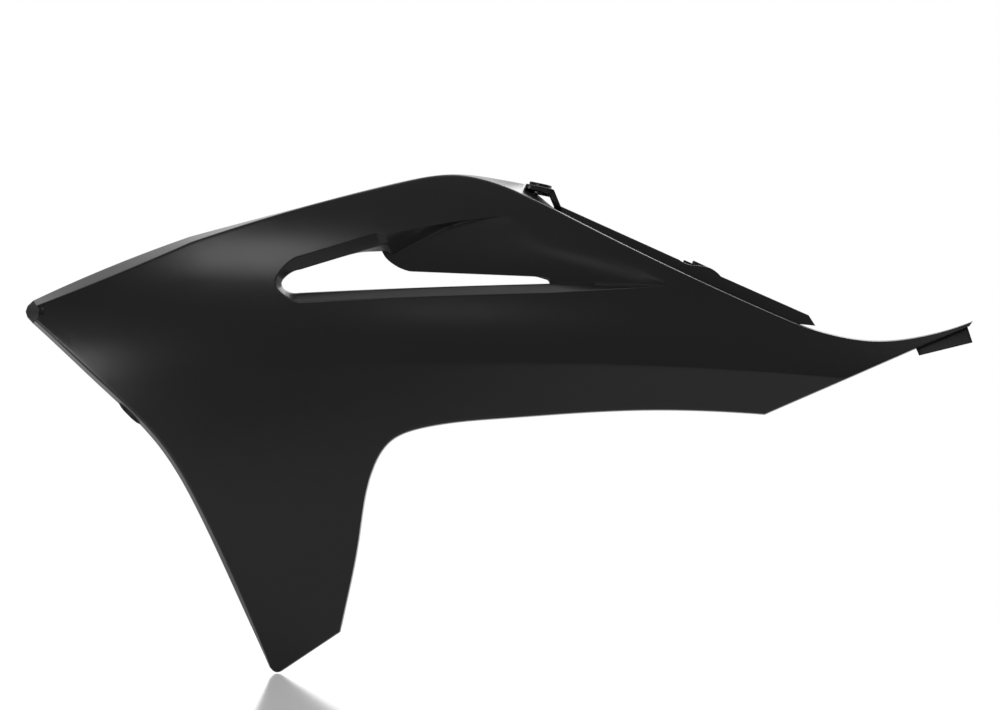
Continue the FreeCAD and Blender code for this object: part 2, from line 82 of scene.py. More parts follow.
# Outline seen square to the outer face: name, x, z, band, corner or not
OUTLINE = (
    ("nose_top", -330.9, -73.4, NOSE_TOP_BAND, True),
    ("nose_front", -336.2, -80.2, NOSE_BAND, False),
    ("nose_under", -331.2, -88.7, FRONT_BAND, True),
    ("cheek", -287.8, -128.8, FRONT_BAND, False),
    ("blade_top", -248.5, -168.7, FRONT_BAND, False),
    ("blade_mid", -222.4, -212.6, FRONT_BAND, False),
    ("blade_low", -196.2, -269.4, FRONT_BAND, False),
    ("toe_front", -176.6, -313.3, DRAFT_BAND, True),
    ("toe", -172.2, -316.5, DRAFT_BAND, False),
    ("toe_rear", -167.4, -314.9, DRAFT_BAND, True),
    ("heel", -130.2, -290.1, DRAFT_BAND, True),
    ("shin_low", -127.5, -278.0, DRAFT_BAND, False),
    ("shin", -117.7, -229.5, DRAFT_BAND, False),
    ("arch_front", -107.9, -182.0, DRAFT_BAND, False),
    ("arch", -97.5, -166.0, DRAFT_BAND, False),
    ("arch_rear", -76.0, -157.0, DRAFT_BAND, False),
    ("keel_front", -26.2, -151.1, DRAFT_BAND, False),
    ("keel_mid", 65.4, -145.8, DRAFT_BAND, False),
    ("keel_corner", 147.5, -148.6, DRAFT_BAND, True),
    ("tail_root", 247.2, -105.3, DRAFT_BAND, True),
    ("tail_under", 282.6, -90.4, DRAFT_BAND, True),
    ("tail_tip", 285.1, -86.7, DRAFT_BAND, True),
    ("tongue_rear", 249.8, -96.8, DRAFT_BAND, False),
    ("tongue_low", 222.4, -99.6, DRAFT_BAND, False),
    ("tongue_front", 190.0, -94.9, DRAFT_BAND, False),
    ("rear_end", 163.5, -86.0, DRAFT_BAND, True),
    ("rear_mid", 91.6, -53.6, DRAFT_BAND, False),
    ("leg_foot", 9.0, -12.4, DRAFT_BAND, True),
    ("shelf_end", -9.2, 3.3, SHELF_END_BAND, True),
    ("shelf_mid_edge", -26.2, 6.5, SHELF_MID_BAND, False),
    ("peak", -55.6, 9.8, DRAFT_BAND, False),
    ("crest_rear", -91.6, 4.6, DRAFT_BAND, False),
    ("crest_front", -157.0, -12.4, DRAFT_BAND, False),
    ("shoulder", -228.9, -31.6, SHOULDER_BAND, True),
    ("fore", -285.1, -53.0, FORE_BAND, False),
)

# Lip widths and wall drafts of the mouth
LIP_BROAD, LIP_UPPER, LIP_NARROW, LIP_LOWER, LIP_END = 8.5, 5.0, 3.2, 6.2, 0.8
SCOOP_DRAFT, GUSSET_DRAFT, WALL_DRAFT = 0.8, 0.36, 0.02

# Mouth of the scoop: name, x, z, lip width, wall draft, corner or not
MOUTH = (
    ("mouth_low", -157.0, -68.7, LIP_LOWER, WALL_DRAFT, True),
    ("mouth_under", -164.8, -67.4, LIP_NARROW, WALL_DRAFT, False),
    ("mouth_nose", -168.6, -62.8, LIP_NARROW, WALL_DRAFT, False),
    ("mouth_over", -165.5, -57.9, LIP_UPPER, WALL_DRAFT, False),
    ("lip_front", -156.3, -53.5, LIP_BROAD, WALL_DRAFT, True),
    ("lip_fore", -127.5, -44.7, LIP_BROAD, WALL_DRAFT, False),
    ("gusset_end", -104.6, -37.5, LIP_BROAD, GUSSET_DRAFT, True),
    ("ramp_start", -98.8, -35.7, LIP_UPPER, SCOOP_DRAFT, True),
    ("lip_mid", -68.3, -27.2, LIP_NARROW, SCOOP_DRAFT, False),
    ("lip_aft", -41.9, -20.9, LIP_END, SCOOP_DRAFT, False),
    ("lip_point", -22.9, -18.8, LIP_END, WALL_DRAFT, True),
    ("fade_low", 85.0, -62.8, LIP_END, WALL_DRAFT, True),
    ("mouth_tail", 7.2, -62.5, LIP_LOWER, WALL_DRAFT, True),
    ("mouth_mid", -65.4, -64.7, LIP_LOWER, WALL_DRAFT, False),
)

# Free edge of the ramp behind its front end, x and z, and whether it has a corner there
RAMP_EDGE = ((-100.4, -46.3, False), (-94.8, -50.7, False), (-85.0, -54.6, True), (3.6, -58.2, True))

# Free edge of the stepped flange, and the line under the tongue that carries the tab
JOGGLE = ((9.8, -9.5), (91.5, -46.5), (97.0, -49.4), (104.0, -50.4), (111.0, -51.6), (119.0, -57.5),
          (176.6, -83.0), (181.0, -90.0))
TAB_ROOT = ((246.6, -103.4), (280.9, -89.6))
TAB_FREE = ((249.2, -109.6), (284.5, -101.0))

# Bolt plates: middle seen from the hole, half sizes, squareness, half thickness, height of the boss
FRONT_EAR = ((-0.3, -2.08), (9.3, 12.58), 8.0, 1.6, 3.8)
REAR_EAR = ((0.0, 3.75), (13.0, 6.75), 8.0, 1.6, 3.8)
FRONT_LUG = ((0.0, 0.0), (13.0, 9.0), 3.2, 1.5, 3.7)

# Holes of the rear ear and the lug, and the turns of the plates in degrees
REAR_HOLE, LUG_HOLE = (106.0, -6.254, -53.5), (-262.0, -82.458, -141.994)
FRONT_TILT, REAR_TILT, LUG_TILT, LUG_TURN = 12.0, 25.0, 90.0, -45.0

# Foot of the front ear: its section in x and z, and its two ends in y
LEG_SECTION = ((7.4, 0.0), (9.0, 1.6), (17.0, -10.0), (11.9, -10.0), (5.8, -1.6), (7.4, 0.0))
LEG_ENDS = (-14.6, 10.5)

# Crowned skin: outward heights, falls and slopes of its sections from nose to tail
FLARES = (86.0, 115.0, 91.0, 22.0, 24.0)
TOP_FALLS = (62.0, 116.0, 52.0)
FOOT_FALL = 34.0
SECTION_RISE, SECTION_DROP = 154.0, 232.0
CREASE_HEIGHT, CREASE_PEAK_X, CREASE_RADIUS, CREASE_START_X = -113.8, -26.0, 2430.0, -225.0
CREASE_ABOVE, CREASE_BELOW, CREASE_GROWTH, CREASE_ROUND = 0.22, 0.42, 1.5, 1.2
RETURN_CREASE, RETURN_SHELF, RETURN_FOOT = (16.0, 5.5), (16.0, 36.0, 9.0), 8.0
LIP_WALL, SCOOP_REACH, SCOOP_SLOPE, SCOOP_BLEND = 9.0, 34.0, 0.34, 14.0
LIP_BACKING = 0.6
FOLD = 3.0

# Table top in metres, with its grey, gloss and the light that only the camera sees
FLOOR_RADIUS, FLOOR_SEGMENTS = 1.2, 96
FLOOR_GREY, FLOOR_ROUGHNESS, FLOOR_IOR, FLOOR_LIFT = 0.5, 0.06, 1.33, 0.28

# Lamps: name, place from the middle of the view, width and height in metres, watts
LAMPS = (
    ("back_light", (0.84, 1.9, 1.3), 1.2, 1.2, 16.0),
    ("front_light", (-1.25, -1.6, 0.18), 1.1, 0.6, 9.0),
    ("top_light", (-0.1, -1.02, 1.47), 0.5, 0.45, 2.4),
    ("side_light", (0.54, -1.46, 0.9), 0.35, 0.25, 0.2),
)

# Level of the studio by direction in mirror images, and the level that lights matt faces
RIGHT_SIDE = {"From Min": -0.45, "From Max": -0.06, "To Min": 0.2, "To Max": 1.0}
FAR_SIDE = {"From Min": -0.2, "From Max": 0.5, "To Min": 0.1, "To Max": 1.0}
ROOM_LEVEL = 0.7
CAMERA_RANGE = 60.0


class Wire:
    """A shader socket that can be used in Python expressions."""

    def __init__(self, tree, socket):
        self.tree = tree
        self.socket = socket

    def math(self, operation, *values):
        return node(self.tree, "ShaderNodeMath", {"operation": operation}, {
            number: value for number, value in enumerate((self, *values))
        })

    def __add__(self, other):
        return self.math("ADD", other)

    def __radd__(self, other):
        return self.math("ADD", other)

    def __sub__(self, other):
        return self.math("SUBTRACT", other)

    def __rsub__(self, other):
        return node(self.tree, "ShaderNodeMath", {"operation": "SUBTRACT"}, {0: other, 1: self})

    def __mul__(self, other):
        return self.math("MULTIPLY", other)

    def __rmul__(self, other):
        return self.math("MULTIPLY", other)

    def __truediv__(self, other):
        return self.math("DIVIDE", other)

    def __pow__(self, other):
        return self.math("POWER", other)

    def clamped(self):
        return node(self.tree, "ShaderNodeMath", {"operation": "ADD", "use_clamp": True}, {0: self, 1: 0.0})


def node(tree, kind, settings=None, inputs=None, output=0):
    """Adds a node, its settings first and then the values or links of its sockets."""
    made = tree.nodes.new(kind)
    for name, value in (settings or {}).items():
        setattr(made, name, value)
    for name, value in (inputs or {}).items():
        socket = made.inputs[name]
        if isinstance(value, Wire):
            tree.links.new(value.socket, socket)
        else:
            socket.default_value = value
    return Wire(tree, made.outputs[output])


class PanelSettings(PropertyGroup):
    wall: FloatProperty(
        name="Wall", description="Thickness of the moulded wall", default=0.0023, min=0.0005, unit="LENGTH")
    crest_round: FloatProperty(
        name="Crest rounding", description="Rounding where the skin turns into its returned edge",
        default=0.0024, min=0.0, unit="LENGTH")
    rim_round: FloatProperty(
        name="Rim rounding", description="Rounding of the free edges", default=0.0009, min=0.0, unit="LENGTH")
    lip_depth: FloatProperty(
        name="Lip depth", description="Depth of the sloped lip round the mouth",
        default=0.0062, unit="LENGTH")


class StudioSettings(PropertyGroup):
    lens: FloatProperty(
        name="Lens", description="Focal length of the camera in millimetres", default=400.0, min=50.0)
    view_centre: FloatVectorProperty(
        name="View centre", description="Point of the frame that the camera looks at",
        default=(-0.0262, -0.05, -0.1092), subtype="TRANSLATION", unit="LENGTH")
    view_width: FloatProperty(
        name="View width", description="Width of the picture at the panel",
        default=0.654, unit="LENGTH")
    floor_height: FloatProperty(
        name="Floor height", description="Height of the table top", default=-0.3168, unit="LENGTH")


class PlasticSettings(PropertyGroup):
    colour: FloatVectorProperty(
        name="Colour", description="Colour of the moulded plastic",
        default=(0.0118, 0.0118, 0.0124), subtype="COLOR", min=0.0, max=1.0)
    roughness: FloatProperty(
        name="Roughness", description="Roughness of the moulded skin",
        default=0.24, min=0.0, max=1.0, subtype="FACTOR")
    texture_depth: FloatProperty(
        name="Texture depth", description="Height of the fine moulding texture",
        default=0.00002, unit="LENGTH")


def share(low, high, value):
    return (value - low) / (high - low)


def mixed(a, b, t):
    return a + (b - a) * t


def smooth_share(low, high, value):
    t = min(1.0, max(0.0, share(low, high, value)))
    return t * t * (3 - 2 * t)


def bezier(controls, t):
    degree = len(controls) - 1
    shares = (math.comb(degree, i) * (1 - t) ** (degree - i) * t ** i for i in range(degree + 1))
    return sum((part * control for part, control in zip(shares, controls)), controls[0] * 0)


SPOTS = {name: Vector((x, z)) for name, x, z, *rest in OUTLINE + MOUTH}


def along(x):
    """Share of the way from the nose to the tip of the tail."""
    return share(SPOTS["nose_front"].x, SPOTS["tail_tip"].x, x)


def crease_z(x):
    return CREASE_HEIGHT - (x - CREASE_PEAK_X) ** 2 / (2 * CREASE_RADIUS)


def skin(x, z, crease_round):
    """Outward distance of the outer face."""
    t = along(x)
    strength = max(0.0, share(CREASE_START_X, SPOTS["tail_tip"].x, x)) ** CREASE_GROWTH
    lift = z - crease_z(x)
    reach, slope, fall = SECTION_DROP, CREASE_BELOW, FOOT_FALL
    if lift > 0:
        reach, slope, fall = SECTION_RISE, CREASE_ABOVE, bezier(TOP_FALLS, t)
    u = abs(lift) / reach
    rounded = math.hypot(lift, crease_round) - crease_round
    return bezier(FLARES, t) - slope * strength * rounded * (1 - u) - fall * u * u


def return_depth(x, z):
    """Depth of the returned edge behind the outer face."""
    t = along(x)
    at_crease = bezier(RETURN_CREASE, t)
    lift = z - crease_z(x)
    if lift < 0:
        return mixed(at_crease, RETURN_FOOT, -lift / SECTION_DROP)
    return mixed(at_crease, bezier(RETURN_SHELF, t), lift / SECTION_RISE)


def scoop_depth(x, z, inside):
    """Depth of the ramp behind the skin, which fades out across a slanted line."""
    start = SPOTS["lip_point"]
    line = SPOTS["fade_low"] - start
    offset = Vector((x, z)) - start
    below = (offset.x * line.y - offset.y * line.x) / line.length
    run = offset.dot(line) / line.length_squared
    blend = smooth_share(*BLEND_IN, run) * (1 - smooth_share(*BLEND_OUT, run))
    sharp = max(0.0, below) if inside else 0.0
    soft = max(0.0, below + SCOOP_BLEND) ** 2 / (4 * SCOOP_BLEND)
    if below > SCOOP_BLEND:
        soft = below
    return SCOOP_SLOPE * mixed(sharp, soft, blend)


class Outline:
    """Closed outline, smooth between its corners. Its parameter counts the points that it passes."""

    def __init__(self, points, corners):
        self.count = len(points)
        self.spans = {}
        starts = [i for i in range(self.count) if corners[i]]
        for start, stop in zip(starts, starts[1:] + starts[:1]):
            number = (stop - start) % self.count
            run = np.array([points[(start + i) % self.count] for i in range(number + 1)])
            knots = np.concatenate(([0.0], np.cumsum(np.linalg.norm(np.diff(run, axis=0), axis=1))))
            bends = self.bends(knots, run)
            for i in range(number):
                self.spans[(start + i) % self.count] = (
                    knots[i + 1] - knots[i], run[i], run[i + 1], bends[i], bends[i + 1])

    @staticmethod
    def end_slope(knots, run):
        """Slope at the first point of the parabola through the first three."""
        near, far = knots[1] - knots[0], knots[2] - knots[0]
        return ((run[1] - run[0]) * far ** 2 - (run[2] - run[0]) * near ** 2) / (near * far * (far - near))

    def bends(self, knots, run):
        """Second derivatives of the cubic spline through a run of points."""
        if len(run) == 2:
            return np.zeros_like(run)
        steps = np.diff(knots)
        rises = np.diff(run, axis=0) / steps[:, None]
        matrix, right = np.zeros((len(run), len(run))), np.zeros_like(run)
        matrix[0, :2] = 2 * steps[0], steps[0]
        matrix[-1, -2:] = steps[-1], 2 * steps[-1]
        right[0] = 6 * (rises[0] - self.end_slope(knots, run))
        right[-1] = 6 * (self.end_slope(knots[::-1], run[::-1]) - rises[-1])
        for i in range(1, len(run) - 1):
            matrix[i, i - 1:i + 2] = steps[i - 1], 2 * (steps[i - 1] + steps[i]), steps[i]
            right[i] = 6 * (rises[i] - rises[i - 1])
        return np.linalg.solve(matrix, right)

    def at(self, t):
        length, start, stop, bend_a, bend_b = self.spans[math.floor(t) % self.count]
        after = (t - math.floor(t)) * length
        before = length - after
        point = (bend_a * before ** 3 + bend_b * after ** 3) / (6 * length)
        point += (start / length - bend_a * length / 6) * before
        point += (stop / length - bend_b * length / 6) * after
        return Vector(point)

    def reaching(self, first, last, x):
        """Parameter between first and last at which the outline reaches x."""
        rising = self.at(last).x > self.at(first).x
        for _ in range(36):
            middle = (first + last) / 2
            if (self.at(middle).x < x) == rising:
                first = middle
            else:
                last = middle
        return (first + last) / 2

    def leftmost(self, first, last):
        return min(np.linspace(first, last, 400), key=lambda t: self.at(t).x)

    def walk(self, first, last, spacing):
        """Parameters along a stretch, with every counted point and about even spacing between."""
        forward = 1 if last > first else -1
        stops = sorted({first, last, *range(math.ceil(min(first, last)), math.floor(max(first, last)) + 1)})
        result = []
        for a, b in zip(stops, stops[1:]):
            pieces = max(1, math.ceil((self.at(b - 1e-9) - self.at(a)).length / spacing))
            result += [mixed(a, b, i / pieces) for i in range(pieces)]
        return (result + [stops[-1]])[::forward]


def grown(points, widths):
    """Closed outline moved sideways at each point, outward where its width is positive."""
    area = sum(a.x * b.y - b.x * a.y for a, b in zip(points, points[1:] + points[:1]))
    turn = math.copysign(1.0, area)
    moved = []
    for i, here in enumerate(points):
        before = (here - points[i - 1]).normalized()
        after = (points[(i + 1) % len(points)] - here).normalized()
        spread = Vector((before.y + after.y, -before.x - after.x)) * turn
        moved.append(here + spread * widths[i] * 2 / spread.length_squared)
    return moved


def bent(points, roundings, steps):
    """Points along a bent line whose inner corners are rounded off."""
    reach = [0.0]
    for i, rounding in enumerate(roundings, start=1):
        sides = (points[i] - points[i - 1]).length, (points[i + 1] - points[i]).length
        reach.append(min(rounding, 0.45 * sides[0], 0.45 * sides[1]))
    reach.append(0.0)
    result = []
    for i, count in enumerate(steps):
        a, b = points[i], points[i + 1]
        length = (b - a).length
        first = mixed(a, b, reach[i] / length) if length > 0 else a
        last = mixed(b, a, reach[i + 1] / length) if length > 0 else b
        result += [mixed(first, last, n / count) for n in range(count + (i == len(steps) - 1))]
        if i < len(steps) - 1:
            following = points[i + 2]
            out = (following - b).length
            away = mixed(b, following, reach[i + 1] / out) if out > 0 else b
            result += [bezier((last, b, away), n / CORNER_STEPS) for n in range(CORNER_STEPS)]
    return result


def sheet(bm, table, place):
    """Grid of faces whose corners are the points of a table of columns."""
    columns, rows = len(table) - 1, len(table[0]) - 1
    made = bmesh.ops.create_grid(bm, x_segments=columns, y_segments=rows, size=1.0)["verts"]
    for vert in made:
        column = round((vert.co.x + 1) / 2 * columns)
        row = round((vert.co.y + 1) / 2 * rows)
        vert.co = place(table[column][row])
    return made


class PanelShape:
    """Works out the points of the panel's sheets, as (x, z, depth behind the outer face)."""

    def __init__(self, settings):
        self.wall = settings.wall / MM
        self.crest_round = settings.crest_round / MM
        self.rim_round = settings.rim_round / MM
        self.lip_depth = settings.lip_depth / MM
        self.edge_points = [Vector((x, z)) for _, x, z, *_ in OUTLINE]
        self.edge_corners = [row[4] for row in OUTLINE]
        self.mouth_points = [Vector((x, z)) for _, x, z, *_ in MOUTH]
        self.mouth_corners = [row[5] for row in MOUTH]
        self.silhouette = self.edge_loop(lambda band, ease: 0.0)
        self.crest = self.edge_loop(lambda band, ease: band)
        self.border = self.edge_loop(lambda band, ease: band + self.crest_round * ease)
        self.inner_rim = self.edge_loop(lambda band, ease: self.wall)
        self.inner_crest = self.edge_loop(lambda band, ease: band + self.wall)
        self.inner_border = self.edge_loop(lambda band, ease: band + self.wall + ease)
        reach = SCOOP_REACH - self.lip_depth
        self.mouth_loops = {}
        for back in (0.0, self.wall):
            slot = grown(self.mouth_points, [back] * len(MOUTH))
            lips = [(row[3] + back * LIP_BACKING) * (1 - back / self.lip_depth) for row in MOUTH]
            self.mouth_loops[back] = [Outline(grown(slot, widths), self.mouth_corners) for widths in (
                [lip + LIP_MARGIN for lip in lips],
                lips,
                [0.0] * len(MOUTH),
                [-row[4] * reach for row in MOUTH],
            )]
        self.stations()
        self.edges = [[self.edge_section(i, side) for i in range(len(self.columns))] for side in (0, 1)]

    def edge_loop(self, inset):
        """Outline moved inward by a distance that follows from the band and depth at each point."""
        widths = []
        for name, x, z, band, _ in OUTLINE:
            ease = mixed(1.0, TAIL_ROUND, smooth_share(*TAIL_RANGE, x))
            width = inset(band, ease)
            widths.append(-min(width, TIP_INSET) if name in ("tail_under", "tail_tip") else -width)
        moved = grown(self.edge_points, widths)
        return Outline(moved, self.edge_corners)

    def stations(self):
        """Columns of the panel: x, and the parameters of both chains of the edge and the mouth."""
        names = [row[0] for row in OUTLINE]
        count = len(OUTLINE)
        nose = self.silhouette.leftmost(0.0, 2.0)
        tip = names.index("tail_tip")
        mouth_names = [row[0] for row in MOUTH]
        ring = self.mouth_loops[0.0][0]
        front = ring.leftmost(1.0, 3.0)
        fade = mouth_names.index("fade_low")
        chains = [
            (self.silhouette, nose, tip, EDGE_SPACING),
            (self.silhouette, nose + count, tip, EDGE_SPACING),
            (ring, front, fade, MOUTH_SPACING),
            (ring, front + len(MOUTH), fade, MOUTH_SPACING),
        ]
        fixed, free = [], []
        for loop, first, last, spacing in chains:
            corners = self.edge_corners if loop is self.silhouette else self.mouth_corners
            for t in loop.walk(first, last, spacing):
                exact = t in (first, last) or (t == round(t) and corners[round(t) % loop.count])
                (fixed if exact else free).append(loop.at(t).x)
        self.ramp_left = ring.at(mouth_names.index("gusset_end")).x
        self.gusset_left = ring.at(mouth_names.index("lip_fore")).x
        self.slot_end = ring.at(mouth_names.index("mouth_tail")).x
        chosen = []
        for x in sorted(fixed):
            if not chosen or x - chosen[-1] > 0.02:
                chosen.append(x)
        for x in sorted(free):
            if min(abs(x - other) for other in chosen) > STATION_GAP:
                chosen.append(x)
        self.columns = []
        left, right = ring.at(front).x, ring.at(fade).x
        for x in sorted(chosen):
            edge = (self.silhouette.reaching(nose, tip, x), self.silhouette.reaching(nose + count, tip, x))
            mouth = None
            if left - 0.01 <= x <= right + 0.01:
                mouth = (ring.reaching(front + len(MOUTH), fade, x), ring.reaching(front, fade, x))
            self.columns.append((x, edge, mouth))
        self.columns[0] = (self.columns[0][0], (nose, nose), None)
        self.columns[-1] = (self.columns[-1][0], (float(tip), float(tip)), None)
        with_mouth = [i for i, column in enumerate(self.columns) if column[2]]
        self.mouth_first, self.mouth_last = with_mouth[0], with_mouth[-1]
        self.ramp_column, self.slot_column = (
            min(with_mouth, key=lambda i: abs(self.columns[i][0] - x)) for x in (self.ramp_left, self.slot_end))
        x, edge, _ = self.columns[self.mouth_first]
        self.columns[self.mouth_first] = (x, edge, (front, front))
        x, edge, _ = self.columns[self.mouth_last]
        self.columns[self.mouth_last] = (x, edge, (float(fade), float(fade)))

    def edge_section(self, column, side):
        """Section of the returned edge, from the outer skin round the free edge to the inner skin."""
        x, edge, _ = self.columns[column]
        t = edge[side]
        rim, inner = self.silhouette.at(t), self.inner_rim.at(t)
        points = [
            (self.border.at(t), 0.0),
            (self.crest.at(t), 0.0),
            (rim, return_depth(*rim)),
            (inner, return_depth(*inner)),
            (self.inner_crest.at(t), self.wall),
            (self.inner_border.at(t), self.wall),
        ]
        middle = (self.silhouette.at(edge[0]).y + self.silhouette.at(edge[1]).y) / 2
        if TAIL_RANGE[0] < x < self.columns[-1][0]:
            limit = (lambda z: min(z, middle - SLIT)) if side == 0 else (lambda z: max(z, middle + SLIT))
            points = [(Vector((p.x, limit(p.y))), depth) for p, depth in points]
        points = [Vector((*p, depth)) for p, depth in points]
        roundings = [self.crest_round, self.rim_round, self.rim_round, INNER_ROUND]
        return bent(points, roundings, (1, 5, RIM_STEPS, 5, 1))

    def wall_path(self, column, lower, back):
        """Border, lip edge, slot edge and far end of the wall at one place of the mouth."""
        lower = lower and column != self.mouth_last
        t = self.columns[column][2][0 if lower else 1]
        border, band, slot, floor = (loop.at(t) for loop in self.mouth_loops[back])
        dips = [0.0 if lower else scoop_depth(*p, False) for p in (border, band)]
        return [
            Vector((*border, dips[0] + back)),
            Vector((*band, dips[1] + back)),
            Vector((*slot, self.lip_depth)),
            Vector((*floor, SCOOP_REACH)),
        ]

    def cut_path(self, path, limit):
        """Wall path that ends where its depth reaches a limit."""
        low, high = 1.0, 3.0
        for _ in range(40):
            middle = (low + high) / 2
            first = min(2, int(middle))
            point = mixed(path[first], path[first + 1], middle - first)
            low, high = (middle, high) if point.z < limit(point) else (low, middle)
        return [path[0], path[1], path[2] if low > 2 else point, point]

    def fold_path(self, column, lower, back):
        return self.cut_path(
            self.wall_path(column, lower, back), lambda p: scoop_depth(p.x, p.y, True) + back)

    def free_path(self, column, lower, back):
        """Wall path that ends at the free edge of the hole."""
        x = self.columns[column][0]
        if lower:
            near, last = smooth_share(self.slot_end - FREE_BLEND, self.slot_end, x), self.slot_column
        else:
            near, last = smooth_share(self.gusset_left, self.ramp_left, x), self.ramp_column
        depth = mixed(LIP_WALL, self.fold_path(last, lower, back)[-1].z, near)
        return self.cut_path(self.wall_path(column, lower, back), lambda p: depth), near

    def free_section(self, column, lower):
        """Section of the lip round the open slot, from the outer skin to the inner skin."""
        outer, near = self.free_path(column, lower, 0.0)
        inner, near = self.free_path(column, lower, self.wall)
        rim = self.rim_round * (1 - near)
        roundings = [LIP_ROUND, SLOT_ROUND, rim, rim, SLOT_ROUND, LIP_ROUND]
        return bent(outer + inner[::-1], roundings, (1, 3, 4, RIM_STEPS, 4, 3, 1))

    def ramp_side(self, column, back):
        """Fold at the top of the ramp, its low border, and the points a little inside both."""
        x = self.columns[column][0]
        top = self.fold_path(column, False, back)
        if column >= self.slot_column:
            low = self.fold_path(column, True, back)
            end = low[-1]
            ease = FOLD * smooth_share(self.slot_end, self.slot_end + FREE_BLEND, x)
        else:
            low = None
            end = self.ramp_edge(x, back)
            ease = LIP_MARGIN * (1 - smooth_share(self.slot_end - LIP_MARGIN * 3, self.slot_end, x))
        gap = (top[-1] - end).xy.length
        if gap < 0.001:
            return top, low, end, top[-1], end
        high_point = self.on_ramp(mixed(top[-1], end, min(FOLD / gap, 0.3)), back)
        low_point = self.on_ramp(mixed(end, top[-1], min(ease / gap, 0.3)), back)
        return top, low, end, high_point, low_point

    def on_ramp(self, point, back):
        return Vector((point.x, point.y, scoop_depth(point.x, point.y, True) + back))

    def ramp_edge(self, x, back):
        """Point of the ramp's free edge that belongs to column x."""
        first = self.fold_path(self.ramp_column, False, 0.0)[-1]
        last = self.fold_path(self.slot_column, True, 0.0)[-1]
        run = share(self.ramp_left, self.slot_end, x)
        here = mixed(first.x, last.x, run)
        points = [first.xy] + [Vector(p[:2]) for p in RAMP_EDGE]
        if here <= points[-1].x:
            edge = Outline(points, [True] + [p[2] for p in RAMP_EDGE])
            spot = edge.at(edge.reaching(0.0, len(points) - 1.0 - 1e-9, here))
        else:
            turn = share(points[-1].x, last.x, here)
            drop = 1 - math.sqrt(max(0.0, 1 - turn * turn))
            spot = Vector((here, mixed(points[-1].y, last.y, drop)))
        if back:
            for column, lower, weight in (
                (self.ramp_column, False, 1 - smooth_share(first.x, first.x + END_BLEND, here)),
                (self.slot_column, True, smooth_share(last.x - END_BLEND, last.x, here)),
            ):
                shift = self.fold_path(column, lower, back)[-1] - self.fold_path(column, lower, 0.0)[-1]
                spot += shift.xy * weight
        return self.on_ramp(Vector((*spot, 0.0)), back)

    def middle(self, column, back):
        """Where the lower and upper sheets meet in front of the mouth and behind it."""
        forward = column < self.mouth_first
        pole = self.mouth_first if forward else self.mouth_last
        target = self.wall_path(pole, False, back)[0]
        place = -1 if back else 0
        low, high = (edge[pole][place] for edge in self.edges)
        across = share(low.y, high.y, target.y)
        shift = target - mixed(low, high, across)
        low, high = (edge[column][place] for edge in self.edges)
        start = self.columns[0 if forward else -1][0]
        run = share(start, self.columns[pole][0], self.columns[column][0])
        middle = mixed(low, high, across) + shift * run ** 2
        middle.z = back + scoop_depth(middle.x, middle.y, False)
        return middle

    def skin_column(self, column, side, back):
        """Points of a skin sheet from the edge to the mouth, or to the line that replaces it."""
        lower = side == 0
        section = self.edges[side][column]
        edge = section[-1 if back else 0]
        if self.columns[column][2]:
            end = self.wall_path(column, lower, back)[0]
        else:
            end = self.middle(column, back)
        stops = [edge, end]
        grades = [[i / SKIN_ROWS for i in range(SKIN_ROWS + 1)]]
        if lower:
            at_crease = 0.5
            for _ in range(2):
                spot = mixed(edge, end, at_crease)
                at_crease = share(edge.y, end.y, crease_z(spot.x)) if end.y - edge.y > 1 else 0.5
                at_crease = min(CREASE_SHARES[1], max(CREASE_SHARES[0], at_crease))
            stops = [edge, mixed(edge, end, at_crease), end]
            grades = [
                self.graded(stops[0], stops[1], BELOW_ROWS),
                self.graded(stops[2], stops[1], ABOVE_ROWS),
            ]
            grades[1] = [1 - t for t in reversed(grades[1])]
        points = [mixed(a, b, t) for a, b, run in zip(stops, stops[1:], grades) for t in run[:-1]] + [end]
        for point in points[1:-1]:
            point.z = back + (0.0 if lower else scoop_depth(point.x, point.y, False))
        return points

    @staticmethod
    def graded(start, crease, count):
        """Shares of the way to the crease, closer together beside it."""
        length = max((crease - start).length, 0.001)
        close = [1 - min(gap / length, limit) for gap, limit in CREASE_GAPS]
        return [close[0] * i / count for i in range(count)] + close + [1.0]

    def ramp_column_points(self, column, back):
        _, _, _, high, low = self.ramp_side(column, back)
        shares = (i / RAMP_ROWS for i in range(1, RAMP_ROWS))
        return [low, *(self.on_ramp(mixed(low, high, t), back) for t in shares), high]

    def step_section(self, column, lower, back):
        """Section of the lip where the ramp closes the mouth, from the skin to the ramp."""
        top, low, _, high_point, low_point = self.ramp_side(column, back)
        path, last = (low, low_point) if lower else (top, high_point)
        start = self.slot_end if lower else self.ramp_left
        bend = FOLD_ROUND * smooth_share(start, start + FREE_BLEND, self.columns[column][0])
        return bent([*path, last], [LIP_ROUND, SLOT_ROUND, bend], (1, 3, 4, 2))

    def rim_section(self, column):
        """Section round the free edge of the ramp."""
        points = []
        for back in (0.0, self.wall):
            _, _, end, _, low_point = self.ramp_side(column, back)
            points += [low_point, end]
        front_low, front_end, back_low, back_end = points
        return bent([front_low, front_end, back_end, back_low], [self.rim_round] * 2, (1, RIM_STEPS, 1))

    def tables(self):
        """Every sheet of the moulding, as a table of columns."""
        first, ramp, slot, last = self.mouth_first, self.ramp_column, self.slot_column, self.mouth_last
        everything = range(len(self.columns))
        yield from self.edges
        for back in (0.0, self.wall):
            for side in (0, 1):
                yield [self.skin_column(i, side, back) for i in everything]
            yield [self.step_section(i, False, back) for i in range(ramp, last + 1)]
            yield [self.step_section(i, True, back) for i in range(slot, last + 1)]
            yield [self.ramp_column_points(i, back) for i in range(ramp, last + 1)]
        yield [self.free_section(i, False) for i in range(first, ramp + 1)]
        yield [self.free_section(i, True) for i in range(first, slot + 1)]
        yield [self.rim_section(i) for i in range(ramp, slot + 1)]

